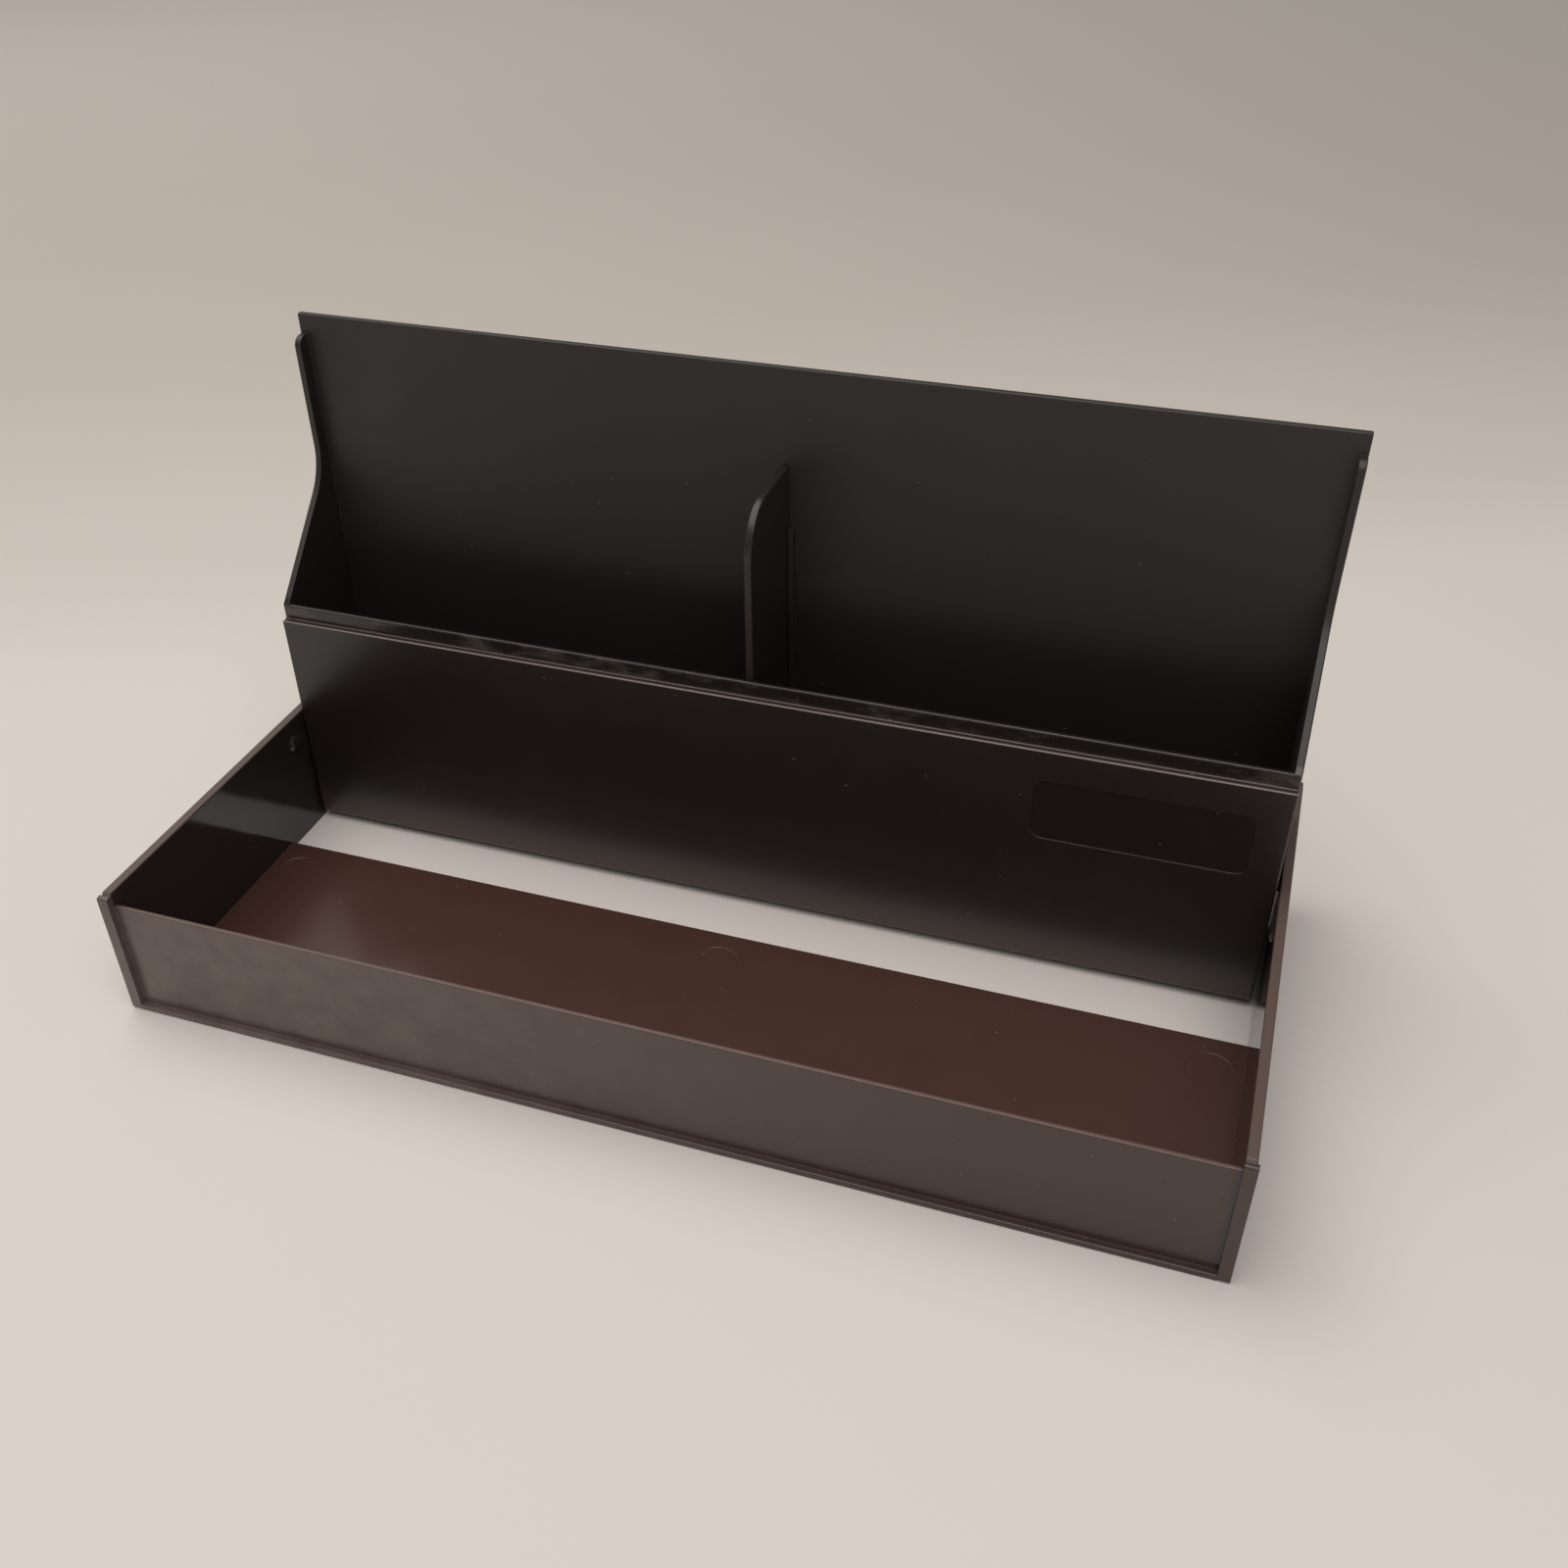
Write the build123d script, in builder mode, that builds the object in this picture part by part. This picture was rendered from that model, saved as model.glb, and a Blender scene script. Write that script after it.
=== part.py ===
"""Hinged case for two columns of 3.5 inch disks, standing open on its lid.

Millimetres. X runs across the case, Y from front to back and Z up. The origin is the
centre of the base's underside. The lid lies open in front of the base. Turned up by a
right angle about its trunnions it covers the upper front, the top and both sides.
"""

import os
from math import radians, tan

from build123d import *

# Outside of the case
case_width = 200.0
case_height = 102.0
base_depth = 25.5
front_height = 48.5

# Walls
side_wall = 1.3
back_wall = 1.3
floor_wall = 1.5
arm_wall = 1.8
panel_wall = 1.2
top_wall = 0.9

# Feet of the base, set back from the front wall
foot_height = 1.4
foot_setback = 4.0
foot_rib_width = 10.0

# Joint along the top of the front wall
lip_wall = 1.0
lip_rise = 3.0

# Rim of the side walls
rim_angle = 45.0
rim_bend = 12.0
flange_depth = 2.8
flange_drop = 3.8

# Lid
arm_height = 27.0
recess_depth = 1.3
edge_rim_depth = 1.0
edge_rim_proud = 0.3
arm_step_drop = 0.5
arm_step_length = 3.0
arm_foot_gap = 0.4

# Clearances
side_gap = 0.7
panel_gap = 0.15
seat_gap = 0.95
back_gap = 0.15
trunnion_gap = 0.08
thrust_gap = 0.15
nub_gap = 0.12
divider_gap = 0.12

# Hinge
pivot_height = 19.1
trunnion_radius = 3.0
trunnion_chamfer = 0.5
shoulder_margin = 1.6

# Snap nubs on the arms and their dimples in the base
nub_radius = 1.8
nub_ahead = 3.8
nub_drop = 5.4
nub_slope = 40.0
nub_crown = 1.2
dimple_margin = 0.3
dimple_depth = 0.35

# Divider between the two columns and the ribs that hold it
divider_wall = 1.5
divider_drop = 18.0
divider_corner = 9.0
divider_chamfer = 1.5
rib_wall = 1.0
rib_depth = 1.6
front_rib_drop = 6.5
back_rib_drop = 12.0

# Smooth field on the front wall
field_width = 38.4
field_height = 12.6
field_corner = 2.4
field_depth = 0.15
field_side_margin = 5.4
field_top_margin = 6.0

# Round marks that the mould's pins leave inside the lid
mark_radius = 4.2
mark_depth = 0.12
mark_side_distance = 6.0
mark_edge_distance = 8.1

# Rounded edges
base_front_radius = 1.0
base_back_radius = 0.6
flange_corner = 2.0
lid_corner = 0.6
arm_corner = 1.0
edge_radius = 0.3

# Places that follow from the sizes above
lid_half = case_width / 2
arm_inside = lid_half - arm_wall
base_half = arm_inside - side_gap
inside_half = base_half - side_wall
front_y = -base_depth / 2
back_y = base_depth / 2
lip_y = front_y + panel_wall + panel_gap
lip_z = front_height + lip_rise
foot_y = front_y + foot_setback
floor_z = foot_height + floor_wall
inside_front_y = lip_y + lip_wall
inside_back_y = back_y - back_wall
flange_y = inside_back_y - flange_depth
flange_z = case_height - flange_drop
bend_z = lip_z + (flange_y - lip_y) * tan(radians(rim_angle))
pivot_y = front_y + pivot_height
closed_sum = pivot_y + pivot_height
lid_front_y = closed_sum - case_height
panel_edge_y = closed_sum - front_height - seat_gap
arm_end_y = closed_sum - arm_foot_gap
recess_y = lid_front_y + recess_depth
wall_top_z = inside_back_y - back_gap - pivot_y + pivot_height
nub_y = front_y - nub_ahead
nub_z = arm_height - nub_drop
nub_rise = side_gap - nub_gap
dimple_y = pivot_y + nub_z - pivot_height
dimple_z = closed_sum - nub_y
rib_distance = divider_wall / 2 + divider_gap + rib_wall / 2
divider_z = case_height - divider_drop
divider_depth = inside_back_y - inside_front_y - 2 * divider_gap
rib_foot_z = foot_height + floor_wall / 2
front_rib_z = front_height - front_rib_drop
back_rib_z = divider_z - back_rib_drop
field_x = base_half - field_side_margin - field_width / 2
field_z = front_height - field_top_margin - field_height / 2
mark_x = arm_inside - mark_side_distance
mark_y = panel_edge_y - mark_edge_distance
beyond = 5.0


def vertex_at(sketch, y, z):
    """The sketch's corner nearest to a place in the side view."""
    return sketch.vertices().sort_by_distance((y, z, 0))[0]


# Side view of the base: front wall with its ledge and lip, sloping rim, flange, back panel
with BuildSketch() as base_view:
    with BuildLine():
        Polyline(
            (flange_y, bend_z),
            (flange_y, flange_z),
            (inside_back_y, flange_z),
            (inside_back_y, case_height),
            (back_y, case_height),
            (back_y, 0),
            (foot_y, 0),
            (foot_y, foot_height),
            (front_y, foot_height),
            (front_y, front_height),
            (lip_y, front_height),
            (lip_y, lip_z),
            close=True,
        )
    make_face()
    fillet(vertex_at(base_view, flange_y, bend_z), rim_bend)
    fillet(vertex_at(base_view, flange_y, flange_z), flange_corner)
    fillet(vertex_at(base_view, front_y, foot_height), base_front_radius)
    fillet(vertex_at(base_view, back_y, 0), base_back_radius)

# Side view of an arm of the lid, whose long edge drops a little at each end
with BuildSketch() as arm_view:
    with BuildLine():
        Polyline(
            (lid_front_y, 0),
            (arm_end_y, 0),
            (arm_end_y, arm_height - arm_step_drop),
            (arm_end_y - arm_step_length, arm_height - arm_step_drop),
            (arm_end_y - arm_step_length, arm_height),
            (lid_front_y + edge_rim_depth + arm_step_drop, arm_height),
            (lid_front_y + edge_rim_depth, arm_height - arm_step_drop),
            (lid_front_y, arm_height - arm_step_drop),
            close=True,
        )
    make_face()
    # The round foot has its centre below the pivot, so it never reaches under the table
    fillet(vertex_at(arm_view, arm_end_y, 0), arm_end_y - pivot_y)
    fillet(vertex_at(arm_view, arm_end_y, arm_height - arm_step_drop), arm_corner)
    fillet(vertex_at(arm_view, lid_front_y, arm_height - arm_step_drop), arm_step_drop)
    fillet(vertex_at(arm_view, lid_front_y, 0), lid_corner)

with BuildPart() as base:
    with BuildSketch(Plane.YZ.offset(-base_half)):
        add(base_view.sketch)
    extrude(amount=2 * base_half)
    # Inside of the case, open above the lip
    with BuildSketch(Plane.YZ.offset(-inside_half)) as hollow:
        with BuildLine():
            Polyline(
                (inside_front_y, floor_z),
                (inside_front_y, lip_z),
                (front_y - beyond, lip_z),
                (front_y - beyond, case_height + beyond),
                (inside_back_y, case_height + beyond),
                (inside_back_y, floor_z),
                close=True,
            )
        make_face()
    extrude(amount=2 * inside_half, mode=Mode.SUBTRACT)
    long_edges = base.edges().filter_by(Axis.X).filter_by(lambda edge: edge.length > base_half)
    fillet(
        base.faces().sort_by(Axis.X)[0].edges()
        + base.faces().sort_by(Axis.X)[-1].edges()
        + long_edges.filter_by_position(Axis.Z, front_height, case_height),
        edge_radius,
    )
    # Hollow underside between the feet of the side walls, the back panel and a middle rib
    hollow_length = inside_half - foot_rib_width / 2
    with BuildSketch():
        with Locations((-foot_rib_width / 2, foot_y - edge_radius)):
            Rectangle(hollow_length, inside_back_y - foot_y + edge_radius, align=(Align.MAX, Align.MIN))
        with Locations((foot_rib_width / 2, foot_y - edge_radius)):
            Rectangle(hollow_length, inside_back_y - foot_y + edge_radius, align=Align.MIN)
    extrude(amount=foot_height, mode=Mode.SUBTRACT)
    # Ribs that hold the divider, on the back panel and on the front wall
    for rib_x in (-rib_distance, rib_distance):
        with BuildSketch(Plane.XY.offset(rib_foot_z)):
            with Locations((rib_x, inside_back_y - rib_depth)):
                Rectangle(rib_wall, rib_depth + back_wall / 2, align=(Align.CENTER, Align.MIN))
        extrude(amount=back_rib_z - rib_foot_z)
        with BuildSketch(Plane.XY.offset(rib_foot_z)):
            with Locations((rib_x, inside_front_y + rib_depth)):
                Rectangle(rib_wall, rib_depth + lip_wall / 2, align=(Align.CENTER, Align.MAX))
        extrude(amount=front_rib_z - rib_foot_z)
    # Smooth field on the front wall
    with BuildSketch(Plane.XZ.offset(-front_y)):
        with Locations((field_x, field_z)):
            RectangleRounded(field_width, field_height, field_corner)
    extrude(amount=-field_depth, mode=Mode.SUBTRACT)
    # Shoulder and trunnion on each side, and the dimple that takes the lid's nub
    for side in (Plane.YZ.offset(base_half), Plane.ZY.offset(base_half)):
        with BuildSketch(side):
            with Locations(side.to_local_coords(Vector(0, pivot_y, pivot_height))):
                Circle(trunnion_radius + shoulder_margin)
        extrude(amount=side_gap - thrust_gap)
        with BuildSketch(side):
            with Locations(side.to_local_coords(Vector(0, pivot_y, pivot_height))):
                Circle(trunnion_radius)
        extrude(amount=side_gap + arm_wall)
        with BuildSketch(side):
            with Locations(side.to_local_coords(Vector(0, dimple_y, dimple_z))):
                Circle(nub_radius + dimple_margin)
        extrude(amount=-dimple_depth, taper=nub_slope, mode=Mode.SUBTRACT)
    across = base.faces().sort_by(Axis.X)
    chamfer(across[0].edges() + across[-1].edges(), trunnion_chamfer)

with BuildPart() as lid:
    # Arms, rounded along their outlines outside and along the top inside
    for arm_x in (-lid_half, arm_inside):
        with BuildSketch(Plane.YZ.offset(arm_x)):
            add(arm_view.sketch)
        extrude(amount=arm_wall)
    fillet(
        lid.faces().sort_by(Axis.X)[0].edges() + lid.faces().sort_by(Axis.X)[-1].edges(),
        edge_radius,
    )
    top_edges = lid.edges().filter_by(Axis.Y).filter_by_position(
        Axis.Z, arm_height - arm_step_drop / 2, arm_height + arm_step_drop / 2
    )
    fillet(
        top_edges.filter_by_position(
            Axis.X, -arm_inside - arm_wall / 2, arm_inside + arm_wall / 2
        ),
        edge_radius,
    )
    # Panel and front wall, which becomes the top when the lid is shut
    with BuildSketch(Plane.YZ.offset(-arm_inside)) as panel_view:
        with BuildLine():
            Polyline(
                (lid_front_y, 0),
                (panel_edge_y, 0),
                (panel_edge_y, panel_wall),
                (recess_y + top_wall, panel_wall),
                (recess_y + top_wall, wall_top_z),
                (recess_y, wall_top_z),
                (recess_y, panel_wall),
                (lid_front_y, panel_wall),
                close=True,
            )
        make_face()
        convex = panel_view.vertices().filter_by_position(Axis.X, lid_front_y, lid_front_y)
        convex += panel_view.vertices().filter_by_position(Axis.X, panel_edge_y, panel_edge_y)
        convex += panel_view.vertices().filter_by_position(Axis.Y, wall_top_z, wall_top_z)
        fillet(convex, edge_radius)
    extrude(amount=2 * arm_inside)
    # Proud rim at the front end of each arm
    for rim_x in (-lid_half - edge_rim_proud, lid_half - edge_radius):
        with BuildSketch(Plane.YZ.offset(rim_x)):
            add(arm_view.sketch)
            with Locations((lid_front_y, 0)):
                Rectangle(edge_rim_depth, arm_height, align=Align.MIN, mode=Mode.INTERSECT)
        extrude(amount=edge_rim_proud + edge_radius)
    # Holes that run on the trunnions
    with BuildSketch(Plane.YZ.offset(-lid_half - beyond)):
        with Locations((pivot_y, pivot_height)):
            Circle(trunnion_radius + trunnion_gap)
    extrude(amount=case_width + 2 * beyond, mode=Mode.SUBTRACT)
    # Snap nubs on the insides of the arms
    for side in (Plane.YZ.offset(-arm_inside), Plane.ZY.offset(-arm_inside)):
        with BuildSketch(side):
            with Locations(side.to_local_coords(Vector(0, nub_y, nub_z))):
                Circle(nub_radius)
        extrude(amount=nub_rise, taper=nub_slope)
        nub_top = lid.faces(Select.LAST).sort_by(Axis(side.origin, side.z_dir))[-1]
        fillet(nub_top.edges(), nub_crown)
    # Round marks on the inside of the panel
    with BuildSketch(Plane.XY.offset(panel_wall)):
        with Locations((-mark_x, mark_y), (0, mark_y), (mark_x, mark_y)):
            Circle(mark_radius)
    extrude(amount=-mark_depth, mode=Mode.SUBTRACT)

with BuildPart() as column_divider:
    with BuildSketch(Plane.YZ.offset(-divider_wall / 2)) as divider_view:
        with Locations((inside_front_y + divider_gap, floor_z)):
            Rectangle(divider_depth, divider_z - floor_z, align=Align.MIN)
        fillet(vertex_at(divider_view, inside_front_y, divider_z), divider_corner)
        chamfer(divider_view.vertices().group_by(Axis.Y)[0], divider_chamfer)
    extrude(amount=divider_wall)
    fillet(column_divider.faces().sort_by(Axis.Z)[-1].edges().filter_by(Axis.Y), edge_radius)

os.makedirs("parts", exist_ok=True)
for piece, label in ((base, "base"), (lid, "lid"), (column_divider, "column_divider")):
    piece.part.label = label
    export_step(piece.part, f"parts/{label}.step")
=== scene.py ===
import math

import bpy
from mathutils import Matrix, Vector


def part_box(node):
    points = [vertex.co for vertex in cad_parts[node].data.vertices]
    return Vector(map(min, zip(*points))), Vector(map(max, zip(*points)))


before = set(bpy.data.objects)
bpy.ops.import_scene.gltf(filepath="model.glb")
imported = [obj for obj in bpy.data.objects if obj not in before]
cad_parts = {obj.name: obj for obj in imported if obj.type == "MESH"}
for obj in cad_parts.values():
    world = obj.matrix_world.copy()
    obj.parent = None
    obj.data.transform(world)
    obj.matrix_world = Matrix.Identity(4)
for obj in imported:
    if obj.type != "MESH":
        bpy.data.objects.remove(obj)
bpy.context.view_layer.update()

MM = 0.001

# Places on the base: its faces along Y, the lip behind the ledge, and the bare field on the front
FRONT_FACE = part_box("base")[0][1]
BACK_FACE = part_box("base")[1][1]
LIP_FRONT = FRONT_FACE + 1.35 * MM
LIP_BACK = LIP_FRONT + 1.0 * MM
LEDGE_TOP = 48.5 * MM
FOOT_EDGE = 1.4 * MM
FIELD_X = (53.7 * MM, 92.1 * MM)
FIELD_Z = (29.9 * MM, 42.5 * MM)
FIELD_DEPTH = 0.15 * MM

# Places on the lid: its arms' faces along X, its panel, and its front wall
ARM_INSIDE = 98.2 * MM
ARM_OUTSIDE = 100.0 * MM
ARM_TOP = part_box("lid")[1][2]
NUB_RISE = 0.75 * MM
LID_FLOOR = 1.2 * MM
PANEL_EDGE = -24.0 * MM
WALL_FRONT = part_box("lid")[0][1] + 1.3 * MM
WALL_TOP = 24.05 * MM

# Finish that the pieces share
GRAIN_SIZE = 0.40 * MM
FRONT_GRAIN_DEPTH = 0.015 * MM
PANEL_GRAIN_DEPTH = 0.020 * MM
WEAR_RADIUS = 0.14 * MM
WEAR_RANGE = (0.93, 0.985)

# Camera
CAMERA_PLACE = (83.891 * MM, -244.046 * MM, 204.858 * MM)
CAMERA_TURN = (0.921, 0.015, 0.329)
CAMERA_LENS = 36.542
CAMERA_SHIFT = (0.01667, 0.03156)
SENSOR_WIDTH = 36.0
NEAREST_SEEN = 0.01

# One soft lamp above, and the weak light of a room
KEY_PLACE = (-0.14, -0.14, 1.0)
KEY_TARGET = (-0.05, -0.04, 0.0)
KEY_SIZE = (2.2, 0.9)
KEY_POWER = 13.2
KEY_COLOUR = (1.0, 0.97, 0.94)
ROOM_COLOUR = (0.95, 0.92, 0.89)
ROOM_STRENGTH = 0.22

# The table is painted a shade darker behind the case, a painted shade for the lamp's falloff, along a
# heading turned a little from the case's own
FLOOR_SIDE = 12.0
FLOOR_HEADING = 0.479
FLOOR_FRONT = (0.755, 0.708, 0.665)
FLOOR_PAINTED_SHADE = (0.57, 0.525, 0.475)
FLOOR_FAR = (0.74, 0.69, 0.625)
BACKGROUND = (0.43, 0.385, 0.34)


class Tree:
    """Short calls for building the nodes of one material."""

    def __init__(self, name):
        self.material = bpy.data.materials.new(name)
        self.material.use_nodes = True
        self.nodes = self.material.node_tree.nodes
        self.links = self.material.node_tree.links
        self.shader = self.nodes["Principled BSDF"]

    def put(self, socket, value):
        if isinstance(value, bpy.types.NodeSocket):
            self.links.new(value, socket)
        elif isinstance(value, tuple) and len(value) == 3 and socket.type == "RGBA":
            socket.default_value = (*value, 1.0)
        else:
            socket.default_value = value

    def place(self):
        return self.nodes.new("ShaderNodeTexCoord").outputs["Object"]

    def split(self, vector):
        node = self.nodes.new("ShaderNodeSeparateXYZ")
        self.put(node.inputs[0], vector)
        return node.outputs["X"], node.outputs["Y"], node.outputs["Z"]

    def math(self, kind, a, b=0.0):
        node = self.nodes.new("ShaderNodeMath")
        node.operation = kind
        self.put(node.inputs[0], a)
        self.put(node.inputs[1], b)
        return node.outputs[0]

    def most(self, first, *more):
        for value in more:
            first = self.math("MAXIMUM", first, value)
        return first

    def other(self, share):
        return self.math("SUBTRACT", 1.0, share)

    def times(self, first, *more):
        for value in more:
            first = self.math("MULTIPLY", first, value)
        return first

    def rise(self, value, low, high):
        """0 below low, 1 above high, smooth between; the other way round if low is above high."""
        node = self.nodes.new("ShaderNodeMapRange")
        node.interpolation_type = "SMOOTHSTEP"
        self.put(node.inputs["Value"], value)
        if low < high:
            spans = (low, high, 0.0, 1.0)
        else:
            spans = (high, low, 1.0, 0.0)
        for key, number in zip(("From Min", "From Max", "To Min", "To Max"), spans):
            node.inputs[key].default_value = number
        return node.outputs["Result"]

    def band(self, value, middle, half, soft):
        """1 within half of the middle, falling to 0 over soft on each side."""
        away = self.math("ABSOLUTE", self.math("SUBTRACT", value, middle))
        return self.rise(away, half + soft, half)

    def scale(self, vector, x, y, z):
        node = self.nodes.new("ShaderNodeMapping")
        self.put(node.inputs["Vector"], vector)
        node.inputs["Scale"].default_value = (x, y, z)
        return node.outputs[0]

    def noise(self, vector, size, detail=2.0, rough=0.5, seed=0.0):
        """Noise whose blotches are about size metres across."""
        node = self.nodes.new("ShaderNodeTexNoise")
        node.noise_dimensions = "4D"
        self.put(node.inputs["Vector"], vector)
        node.inputs["W"].default_value = seed
        node.inputs["Scale"].default_value = 1.0 / size
        node.inputs["Detail"].default_value = detail
        node.inputs["Roughness"].default_value = rough
        return node.outputs["Fac"]

    def cells(self, vector, size, kind="F1"):
        node = self.nodes.new("ShaderNodeTexVoronoi")
        node.feature = kind
        self.put(node.inputs["Vector"], vector)
        node.inputs["Scale"].default_value = 1.0 / size
        return node

    def specks(self, vector, size, dot, share):
        """Round dots of up to one radius, in a share of the cells."""
        node = self.cells(vector, size)
        parts = self.nodes.new("ShaderNodeSeparateColor")
        self.put(parts.inputs[0], node.outputs["Color"])
        chosen = self.math("LESS_THAN", parts.outputs[0], share)
        reach = self.math("MULTIPLY", parts.outputs[1], dot / size)
        near = self.math("LESS_THAN", node.outputs["Distance"], reach)
        return self.times(chosen, near)

    def along(self, vector, length, width, turn):
        """The place in units that are length long one way and width long across it."""
        node = self.nodes.new("ShaderNodeMapping")
        self.put(node.inputs["Vector"], vector)
        node.inputs["Rotation"].default_value = turn
        node.inputs["Scale"].default_value = (1.0 / length, 1.0 / width, 1.0 / width)
        return node.outputs[0]

    def fibres(self, vector, half_length, half_width, share, turn):
        """Short thin dots in some of the cells, all lying one way."""
        apart = 17.0
        return self.specks(self.along(vector, half_length, half_width, turn), apart, 1.0, share)

    def scratches(self, vector, length, width, share, turn, seed):
        """Short thin lines along one direction, broken up by noise."""
        lines = self.noise(self.along(vector, length, width, turn), 1.0, 0.0, 0.5, seed)
        return self.rise(lines, 1.0 - share, 1.0 - share + 0.03)

    def mix(self, share, a, b):
        node = self.nodes.new("ShaderNodeMix")
        node.data_type = "RGBA"
        self.put(node.inputs["Factor"], share)
        self.put(node.inputs["A"], a)
        self.put(node.inputs["B"], b)
        return node.outputs["Result"]

    def blend(self, share, a, b):
        node = self.nodes.new("ShaderNodeMix")
        node.data_type = "FLOAT"
        for socket, value in zip((node.inputs[0], node.inputs[2], node.inputs[3]), (share, a, b)):
            self.put(socket, value)
        return node.outputs[0]

    def bump(self, height, distance, strength=1.0, below=None):
        node = self.nodes.new("ShaderNodeBump")
        self.put(node.inputs["Height"], height)
        node.inputs["Distance"].default_value = distance
        self.put(node.inputs["Strength"], strength)
        if below is not None:
            self.put(node.inputs["Normal"], below)
        return node.outputs[0]

    def finish(self, colour, roughness, normal):
        self.put(self.shader.inputs["Base Color"], colour)
        self.put(self.shader.inputs["Roughness"], roughness)
        self.put(self.shader.inputs["Normal"], normal)
        return self.material


def soft_edges(tree, radius):
    node = tree.nodes.new("ShaderNodeBevel")
    node.samples = 4
    node.inputs["Radius"].default_value = radius
    return node.outputs[0]


def edge_wear(tree):
    """1 on outer and inner edges, 0 on flat faces."""
    low, high = WEAR_RANGE
    bevel = soft_edges(tree, WEAR_RADIUS)
    plain = tree.nodes.new("ShaderNodeNewGeometry").outputs["Normal"]
    node = tree.nodes.new("ShaderNodeVectorMath")
    node.operation = "DOT_PRODUCT"
    tree.put(node.inputs[0], bevel)
    tree.put(node.inputs[1], plain)
    return tree.rise(node.outputs["Value"], high, low)


def pebbled(tree, place):
    """Height of the moulded pebble grain, from 0 in the valleys to about 1 on the crowns."""
    stones = tree.other(tree.cells(place, GRAIN_SIZE, "SMOOTH_F1").outputs["Distance"])
    fine = tree.noise(place, GRAIN_SIZE * 0.45, 2.0, 0.6)
    return tree.math("ADD", tree.times(stones, 0.8), tree.times(fine, 0.5))


def within(tree, x, z, margin, soft):
    """1 inside the bare field's outline grown by a margin, falling to 0 over a soft edge."""
    return tree.times(
        tree.rise(x, FIELD_X[0] - margin - soft, FIELD_X[0] - margin),
        tree.rise(x, FIELD_X[1] + margin + soft, FIELD_X[1] + margin),
        tree.rise(z, FIELD_Z[0] - margin - soft, FIELD_Z[0] - margin),
        tree.rise(z, FIELD_Z[1] + margin + soft, FIELD_Z[1] + margin))


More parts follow.
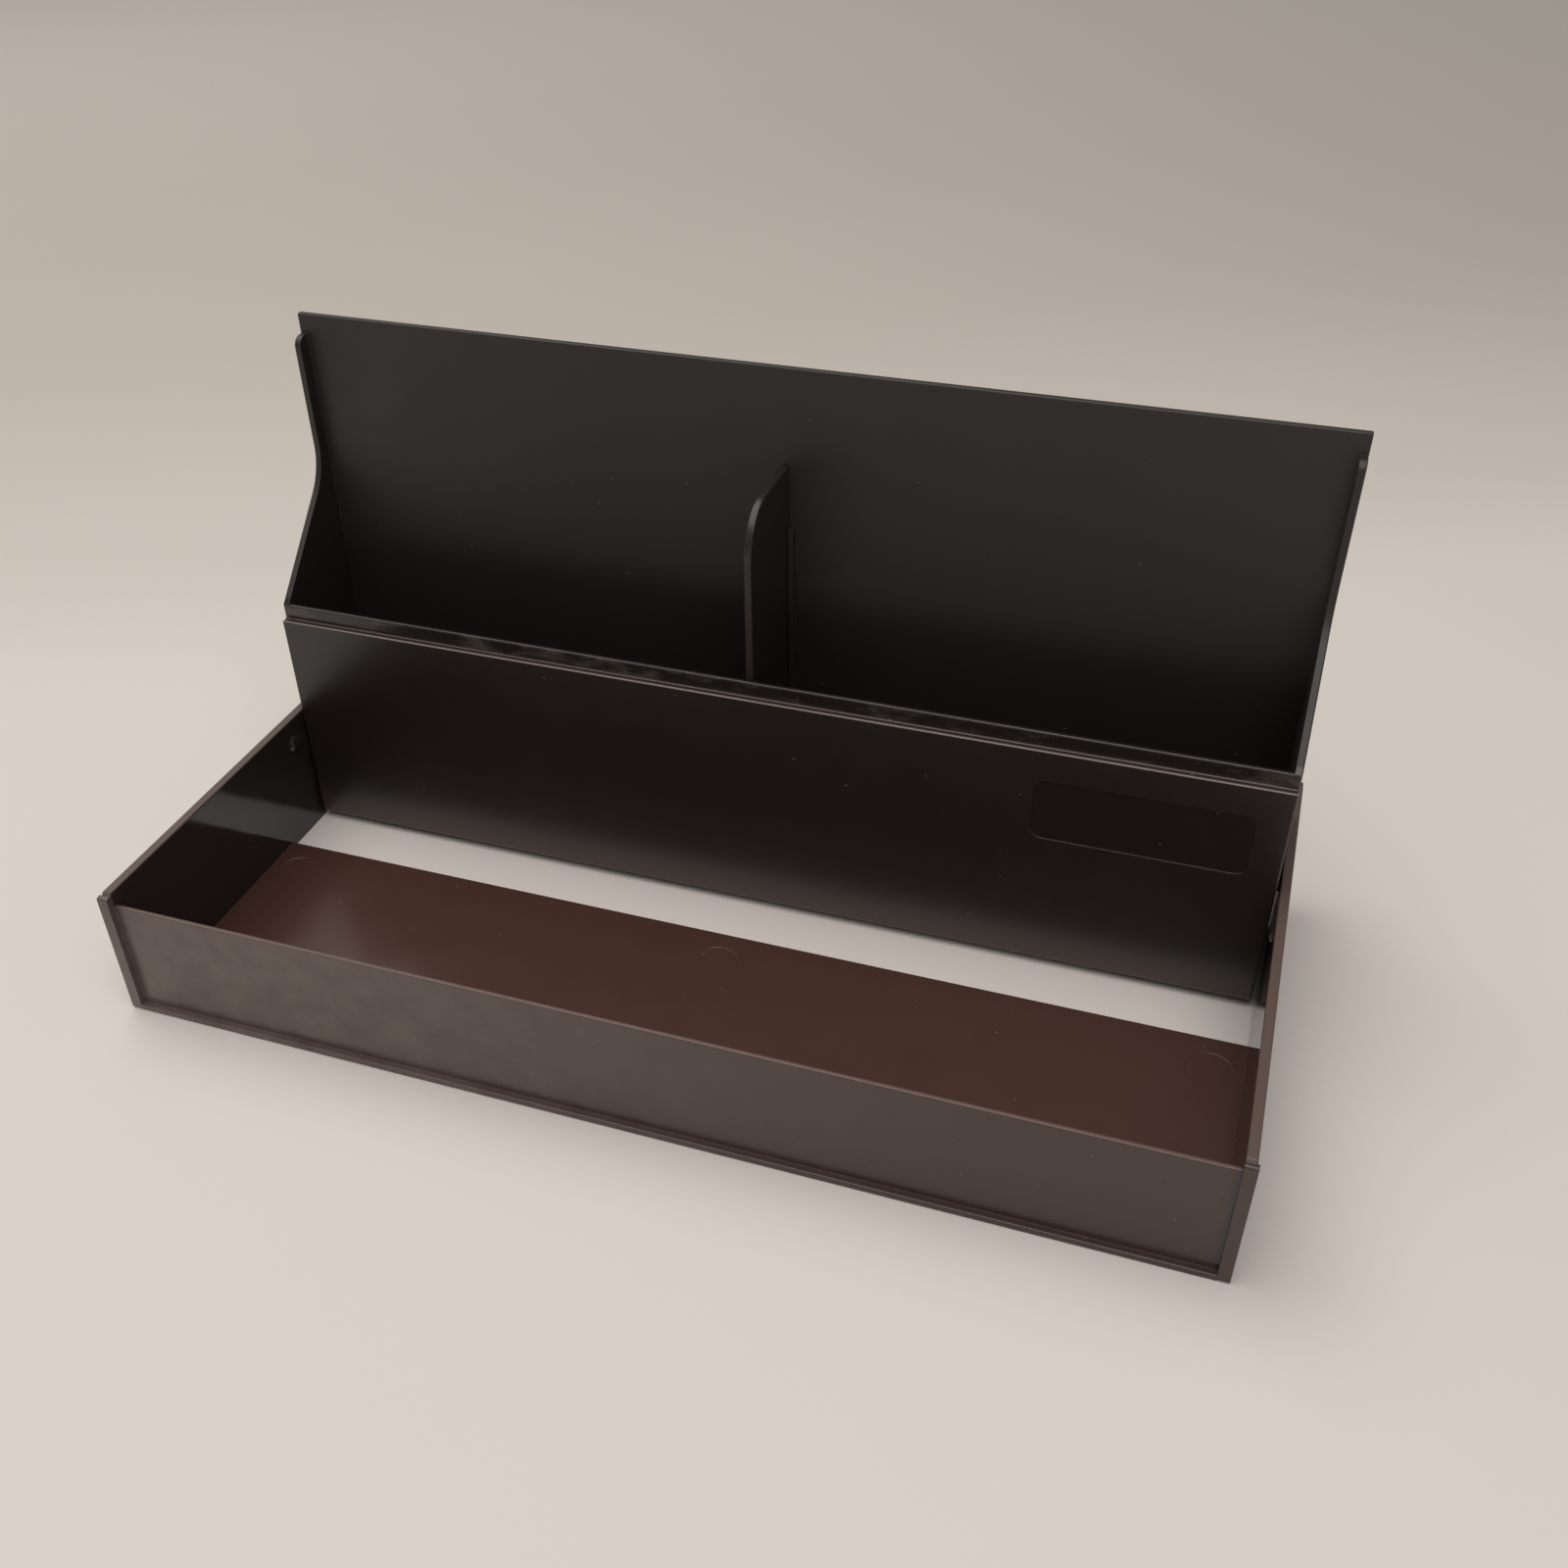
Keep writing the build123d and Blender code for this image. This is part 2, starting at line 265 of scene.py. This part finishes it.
def base_material():
    t = Tree("base_plastic_look")
    place = t.place()
    x, y, z = t.split(place)

    # Where the pebble grain, the bare field, the inside and the ledge are
    on_front = t.rise(y, FRONT_FACE + 0.9 * MM, FRONT_FACE + 0.4 * MM)
    in_field = t.times(
        t.rise(y, FRONT_FACE + 0.4 * FIELD_DEPTH, FRONT_FACE + 0.8 * FIELD_DEPTH), on_front,
        within(t, x, z, 0.0, 0.3 * MM))
    below_ledge = t.rise(z, LEDGE_TOP - 0.2 * MM, LEDGE_TOP - 0.6 * MM)
    on_back = t.rise(y, BACK_FACE - 0.5 * MM, BACK_FACE - 0.1 * MM)
    step_painted_dark = t.times(
        t.band(y, FRONT_FACE + 0.5 * FIELD_DEPTH, 0.3 * FIELD_DEPTH, 0.1 * FIELD_DEPTH),
        within(t, x, z, 0.3 * MM, 0.3 * MM))
    foot = t.rise(z, FOOT_EDGE + 1.4 * MM, FOOT_EDGE + 0.6 * MM)
    grainy = t.most(t.times(on_front, below_ledge, t.other(t.most(in_field, foot))), on_back)
    inside = t.times(t.rise(y, LIP_BACK - 0.1 * MM, LIP_BACK + 0.1 * MM), t.other(on_back))

    # Slow changes of shade, and what has settled on it
    cloud = t.noise(place, 40 * MM, 3.0, 0.55, 1.0)
    haze = t.noise(place, 9 * MM, 4.0, 0.6, 2.0)
    dust = t.specks(place, 3.4 * MM, 0.10 * MM, 0.05)
    lint = t.fibres(place, 0.36 * MM, 0.065 * MM, 0.30, (0.4, 0.9, 0.7))

    # Worn places along the free edges; the ledge's edge and the lip painted lighter, partly wear and partly
    # painted highlight; a lighter line at the lip's foot; the front painted lighter towards its foot, a
    # painted reflection of the table
    nicks = t.noise(place, 2.2 * MM, 3.0, 0.7, 5.0)
    worn_edge = t.times(edge_wear(t), t.rise(nicks, 0.36, 0.62))
    ledge_highlight_and_wear = t.times(t.band(z, LEDGE_TOP - 0.10 * MM, 0.06 * MM, 0.06 * MM), on_front)
    on_lip = t.times(t.band(y, LIP_FRONT, 0.08 * MM, 0.06 * MM), t.rise(z, LEDGE_TOP, LEDGE_TOP + 0.2 * MM))
    painted_foot_reflection = t.times(t.rise(z, FOOT_EDGE + 9.0 * MM, FOOT_EDGE), on_front, t.blend(haze, 0.7, 1.0))
    smudge = t.noise(t.scale(place, 0.35, 1.0, 1.0), 4 * MM, 4.0, 0.7, 6.0)
    lip_highlight_and_wear = t.times(on_lip, t.rise(smudge, 0.48, 0.70))
    lip_foot = t.times(t.band(z, LEDGE_TOP + 0.08 * MM, 0.10 * MM, 0.08 * MM),
                       t.band(y, LIP_FRONT, 0.2 * MM, 0.1 * MM))

    colour = t.mix(cloud, (0.0154, 0.0114, 0.0098), (0.0196, 0.0136, 0.0130))
    colour = t.mix(t.times(haze, grainy, 0.30), colour, (0.034, 0.0240, 0.0222))
    # Painted reflection: the front is painted lighter towards its foot, standing in for the table reflected
    # there
    colour = t.mix(t.times(painted_foot_reflection, 0.90), colour, (0.070, 0.0450, 0.0400))
    colour = t.mix(t.times(in_field, 0.45), colour, (0.020, 0.0148, 0.0128))
    # Painted shade: the side faces of the field's shallow recess are painted near black
    colour = t.mix(t.times(step_painted_dark, 0.8), colour, (0.006, 0.0045, 0.004))
    # The lip's front face is painted lighter where smudged: partly wear, partly painted highlight
    colour = t.mix(t.times(lip_highlight_and_wear, 0.35), colour, (0.20, 0.17, 0.15))
    colour = t.mix(t.times(lip_foot, 0.30), colour, (0.20, 0.115, 0.075))
    colour = t.mix(t.times(worn_edge, 0.40), colour, (0.17, 0.125, 0.105))
    # The ledge's front edge is painted as a bright line: partly wear, partly painted highlight
    colour = t.mix(t.times(ledge_highlight_and_wear, 0.38), colour, (0.46, 0.36, 0.31))
    colour = t.mix(t.times(dust, 0.20), colour, (0.5, 0.47, 0.44))
    colour = t.mix(t.times(lint, 0.55), colour, (0.6, 0.57, 0.54))

    smooth = t.blend(haze, 0.17, 0.27)
    rough = t.blend(inside, smooth, t.blend(haze, 0.46, 0.56))
    rough = t.blend(grainy, rough, t.blend(haze, 0.27, 0.36))
    rough = t.blend(t.times(foot, on_front), rough, 0.14)
    rough = t.blend(t.most(t.times(worn_edge, 0.6), step_painted_dark), rough, 0.6)

    normal = soft_edges(t, 0.22 * MM)
    normal = t.bump(t.noise(place, 22 * MM, 2.0, 0.5, 8.0), 0.25 * MM, 0.35, normal)
    normal = t.bump(pebbled(t, place), FRONT_GRAIN_DEPTH, grainy, normal)
    t.shader.inputs["Specular IOR Level"].default_value = 0.65
    return t.finish(colour, rough, normal)


def lid_material():
    t = Tree("lid_plastic_look")
    place = t.place()
    x, y, z = t.split(place)

    # Which face of the lid it is
    aside = t.math("ABSOLUTE", x)
    on_arm = t.times(
        t.rise(aside, ARM_INSIDE - NUB_RISE, ARM_INSIDE - 0.9 * NUB_RISE),
        t.rise(aside, ARM_INSIDE + 0.15 * MM, ARM_INSIDE + 0.10 * MM),
        t.most(t.rise(z, LID_FLOOR, LID_FLOOR + 0.1 * MM), t.rise(y, PANEL_EDGE, PANEL_EDGE + 0.3 * MM)))
    on_wall = t.rise(y, WALL_FRONT + 0.2 * MM, WALL_FRONT + 0.05 * MM)
    under = t.rise(z, 0.25 * MM, 0.05 * MM)
    outside = t.most(on_wall, under, t.rise(aside, ARM_OUTSIDE - 0.4 * MM, ARM_OUTSIDE - 0.1 * MM))
    arm_top = t.times(t.rise(z, ARM_TOP - 0.35 * MM, ARM_TOP - 0.12 * MM),
                      t.rise(aside, ARM_INSIDE - 0.1 * MM, ARM_INSIDE))
    wall_top = t.times(t.rise(z, WALL_TOP - 0.22 * MM, WALL_TOP - 0.08 * MM),
                       t.rise(aside, ARM_INSIDE, ARM_INSIDE - 0.3 * MM))

    # Slow changes of shade, the wall painted lighter towards its left end as painted light, and what has
    # settled on it
    painted_light_left = t.times(on_wall, t.rise(x, 80 * MM, -100 * MM),
                      t.noise(place, 6 * MM, 4.0, 0.65, 10.0))
    cloud = t.noise(place, 34 * MM, 3.0, 0.55, 11.0)
    haze = t.noise(place, 8 * MM, 4.0, 0.6, 12.0)
    dust = t.specks(place, 3.0 * MM, 0.17 * MM, 0.12)
    lint = t.fibres(place, 0.34 * MM, 0.06 * MM, 0.35, (0.2, 0.5, 1.1))
    hairline = t.scratches(place, 5 * MM, 0.12 * MM, 0.16, (0.0, 0.3, 0.7), 13.0)
    streaks = t.noise(t.scale(place, 4.0, 0.25, 1.0), 2.2 * MM, 3.0, 0.6, 14.0)
    nicks = t.noise(place, 2.4 * MM, 4.0, 0.75, 15.0)
    worn_edge = t.times(edge_wear(t), t.rise(nicks, 0.34, 0.6))

    colour = t.mix(cloud, (0.063, 0.0285, 0.0212), (0.076, 0.0345, 0.0262))
    colour = t.mix(t.times(haze, 0.22), colour, (0.086, 0.045, 0.036))
    # Painted shade: the outer faces are painted darker and greyer than the inside
    colour = t.mix(t.times(outside, 0.70), colour, (0.045, 0.0240, 0.0215))
    # Painted shade: the arms' inner faces are painted near black and grey
    colour = t.mix(t.times(on_arm, 0.92), colour, (0.022, 0.0190, 0.0185))
    # Painted light: the wall is painted lighter towards its left end
    colour = t.mix(painted_light_left, colour, (0.195, 0.145, 0.130))
    # Painted highlight: the arms' tops are painted lighter, broken by streaks
    colour = t.mix(t.times(arm_top, t.blend(streaks, 0.55, 0.85)), colour, (0.120, 0.084, 0.067))
    # The wall's top is painted lighter with nicks: partly wear, partly painted highlight
    colour = t.mix(t.times(wall_top, t.blend(nicks, 0.10, 0.90)), colour, (0.150, 0.090, 0.068))
    colour = t.mix(t.times(worn_edge, 0.40), colour, (0.24, 0.17, 0.14))
    colour = t.mix(t.times(hairline, 0.03), colour, (0.3, 0.24, 0.22))
    colour = t.mix(t.times(dust, 0.30), colour, (0.42, 0.33, 0.29))
    colour = t.mix(t.times(lint, 0.50), colour, (0.6, 0.57, 0.54))

    rough = t.blend(haze, 0.14, 0.24)
    rough = t.blend(outside, rough, t.blend(haze, 0.27, 0.36))
    rough = t.blend(on_arm, rough, t.blend(haze, 0.07, 0.12))
    rough = t.blend(t.most(arm_top, wall_top), rough, 0.42)
    rough = t.blend(t.times(worn_edge, 0.6), rough, 0.55)

    normal = soft_edges(t, 0.2 * MM)
    normal = t.bump(t.noise(place, 18 * MM, 2.0, 0.5, 18.0), 0.25 * MM, 0.4, normal)
    normal = t.bump(pebbled(t, place), PANEL_GRAIN_DEPTH, under, normal)
    normal = t.bump(t.noise(place, 0.5 * MM, 2.0, 0.6, 19.0), 0.008 * MM, outside, normal)
    t.shader.inputs["Specular IOR Level"].default_value = 0.7
    return t.finish(colour, rough, normal)


def divider_material():
    t = Tree("divider_plastic_look")
    place = t.place()
    cloud = t.noise(place, 30 * MM, 3.0, 0.55, 21.0)
    haze = t.noise(place, 7 * MM, 4.0, 0.6, 22.0)
    hairline = t.scratches(place, 14 * MM, 0.16 * MM, 0.22, (0.4, 0.0, 0.0), 23.0)
    nicks = t.noise(place, 2.0 * MM, 3.0, 0.7, 25.0)
    worn_edge = t.times(edge_wear(t), t.rise(nicks, 0.38, 0.6))
    colour = t.mix(cloud, (0.020, 0.0147, 0.0123), (0.027, 0.0200, 0.0168))
    colour = t.mix(t.times(worn_edge, 0.35), colour, (0.16, 0.12, 0.10))
    colour = t.mix(t.times(hairline, 0.08), colour, (0.25, 0.22, 0.20))
    normal = soft_edges(t, 0.2 * MM)
    normal = t.bump(t.noise(place, 0.6 * MM, 2.0, 0.6, 27.0), 0.01 * MM, 1.0, normal)
    return t.finish(colour, t.blend(haze, 0.24, 0.38), normal)


def dress(node, material):
    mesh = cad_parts[node].data
    if not mesh.materials:
        mesh.materials.append(material)
    for k in range(len(mesh.materials)):
        mesh.materials[k] = material


def floor_material():
    t = Tree("floor_look")
    place = t.place()
    x, y, z = t.split(place)
    ahead = t.math("ADD", t.times(x, -math.sin(FLOOR_HEADING)), t.times(y, math.cos(FLOOR_HEADING)))
    # Painted shade: the table darkens behind the case as if the lamp's light fell off there
    painted_shade_behind = t.math("ADD", t.times(t.rise(ahead, 0.085, 0.165), 0.45),
                 t.times(t.rise(ahead, 0.125, 0.345), 0.55))
    colour = t.mix(painted_shade_behind, FLOOR_FRONT, FLOOR_PAINTED_SHADE)
    away = t.math("SQRT", t.math("ADD", t.times(x, x), t.times(y, y)))
    colour = t.mix(t.rise(away, 0.45, 1.10), colour, FLOOR_FAR)
    mottle = t.noise(place, 60 * MM, 4.0, 0.6, 31.0)
    colour = t.mix(t.times(mottle, 0.10), colour, (0.70, 0.64, 0.58))
    grit = t.specks(place, 34 * MM, 0.55 * MM, 0.20)
    colour = t.mix(t.times(grit, 0.35), colour, (0.36, 0.27, 0.20))
    paper = t.noise(place, 0.7 * MM, 3.0, 0.7, 32.0)
    t.shader.inputs["Specular IOR Level"].default_value = 0.25

    # Far off, where the lamp hardly reaches, the camera sees the floor as the background's colour
    backdrop = t.nodes.new("ShaderNodeEmission")
    t.put(backdrop.inputs["Color"], BACKGROUND)
    path = t.nodes.new("ShaderNodeLightPath")
    either = t.nodes.new("ShaderNodeMixShader")
    t.put(either.inputs["Fac"], t.times(path.outputs["Is Camera Ray"], t.rise(away, 0.7, 1.9)))
    t.put(either.inputs[1], t.shader.outputs[0])
    t.put(either.inputs[2], backdrop.outputs[0])
    t.put(t.nodes["Material Output"].inputs["Surface"], either.outputs[0])
    return t.finish(colour, t.blend(mottle, 0.62, 0.75), t.bump(paper, 0.02 * MM))


def make_floor():
    bpy.ops.mesh.primitive_plane_add(size=FLOOR_SIDE, location=(0.0, 0.0, 0.0))
    floor = bpy.context.object
    floor.name = "floor"
    floor.data.materials.append(floor_material())


def aim(obj, target):
    """Turns an object so that its own -Z points at the target."""
    line = [b - a for a, b in zip(obj.location, target)]
    flat = math.hypot(line[0], line[1])
    obj.rotation_euler = (math.atan2(flat, -line[2]), 0.0, math.atan2(line[1], line[0]) - math.pi / 2)


def make_key_light():
    data = bpy.data.lights.new("key", "AREA")
    data.shape = "RECTANGLE"
    data.size, data.size_y = KEY_SIZE
    data.energy = KEY_POWER
    data.color = KEY_COLOUR
    light = bpy.data.objects.new("key", data)
    bpy.context.collection.objects.link(light)
    light.location = KEY_PLACE
    aim(light, KEY_TARGET)


def make_room_light():
    """Weak light from all round, behind which the camera sees the background's colour."""
    world = bpy.data.worlds.new("studio")
    bpy.context.scene.world = world
    world.use_nodes = True
    nodes, links = world.node_tree.nodes, world.node_tree.links
    room = nodes["Background"]
    room.inputs["Color"].default_value = (*ROOM_COLOUR, 1.0)
    room.inputs["Strength"].default_value = ROOM_STRENGTH
    seen = nodes.new("ShaderNodeBackground")
    seen.inputs["Color"].default_value = (*BACKGROUND, 1.0)
    path = nodes.new("ShaderNodeLightPath")
    either = nodes.new("ShaderNodeMixShader")
    links.new(path.outputs["Is Camera Ray"], either.inputs["Fac"])
    links.new(room.outputs[0], either.inputs[1])
    links.new(seen.outputs[0], either.inputs[2])
    links.new(either.outputs[0], nodes["World Output"].inputs["Surface"])


def make_camera():
    data = bpy.data.cameras.new("camera")
    data.sensor_width = SENSOR_WIDTH
    data.lens = CAMERA_LENS
    data.shift_x, data.shift_y = CAMERA_SHIFT
    data.clip_start = NEAREST_SEEN
    camera = bpy.data.objects.new("camera", data)
    bpy.context.collection.objects.link(camera)
    camera.location = CAMERA_PLACE
    camera.rotation_euler = CAMERA_TURN
    bpy.context.scene.camera = camera


dress("base", base_material())
dress("lid", lid_material())
dress("column_divider", divider_material())
make_floor()
make_key_light()
make_room_light()
make_camera()
bpy.context.scene.view_settings.view_transform = "Standard"
